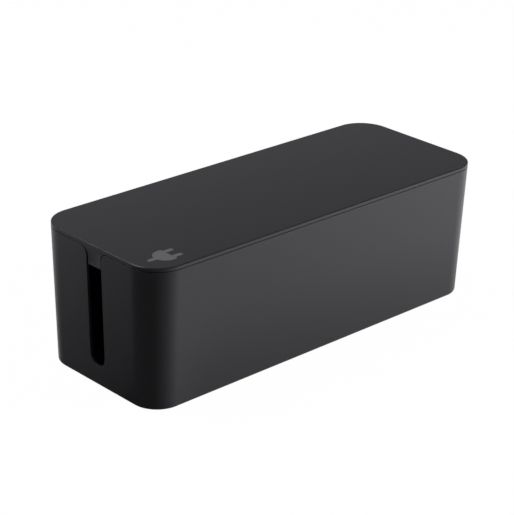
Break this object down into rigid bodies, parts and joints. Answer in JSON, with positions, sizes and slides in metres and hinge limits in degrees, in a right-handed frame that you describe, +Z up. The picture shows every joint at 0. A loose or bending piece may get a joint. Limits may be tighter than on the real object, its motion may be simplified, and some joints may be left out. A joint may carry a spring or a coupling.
{
  "type": "cable management box",
  "caption": "Lidded plastic box that hides a power strip and spare leads, with cable slots in its end walls and a lid that lifts straight off.",
  "frame": {"origin": "centre of the box's length and width, on the surface that the feet stand on", "axes": "+X along the length, +Y across the width, +Z up; the cable slots are in the two X ends"},
  "size_m": [0.406, 0.1558, 0.135],
  "materials": {
    "tub_plastic": "charcoal-black moulded ABS, satin, with a fine spark-eroded grain",
    "lid_plastic": "charcoal-black moulded ABS, satin, with a fine spark-eroded grain",
    "foot_rubber": "matt black rubber",
    "pad_adhesive": "thin cream double-sided adhesive film"
  },
  "bodies": {
    "base": {"tub": "tub_plastic", "foot_front_left": "foot_rubber", "foot_front_right": "foot_rubber", "foot_back_left": "foot_rubber", "foot_back_right": "foot_rubber", "pad_front_left": "pad_adhesive", "pad_front_right": "pad_adhesive", "pad_back_left": "pad_adhesive", "pad_back_right": "pad_adhesive"},
    "cover": {"lid": "lid_plastic"}
  },
  "joints": [
    {"name": "lid_lift", "type": "slide", "parent": "base", "child": "cover", "axis": [0, 0, 1], "range_m": [0, 0.15]}
  ]
}
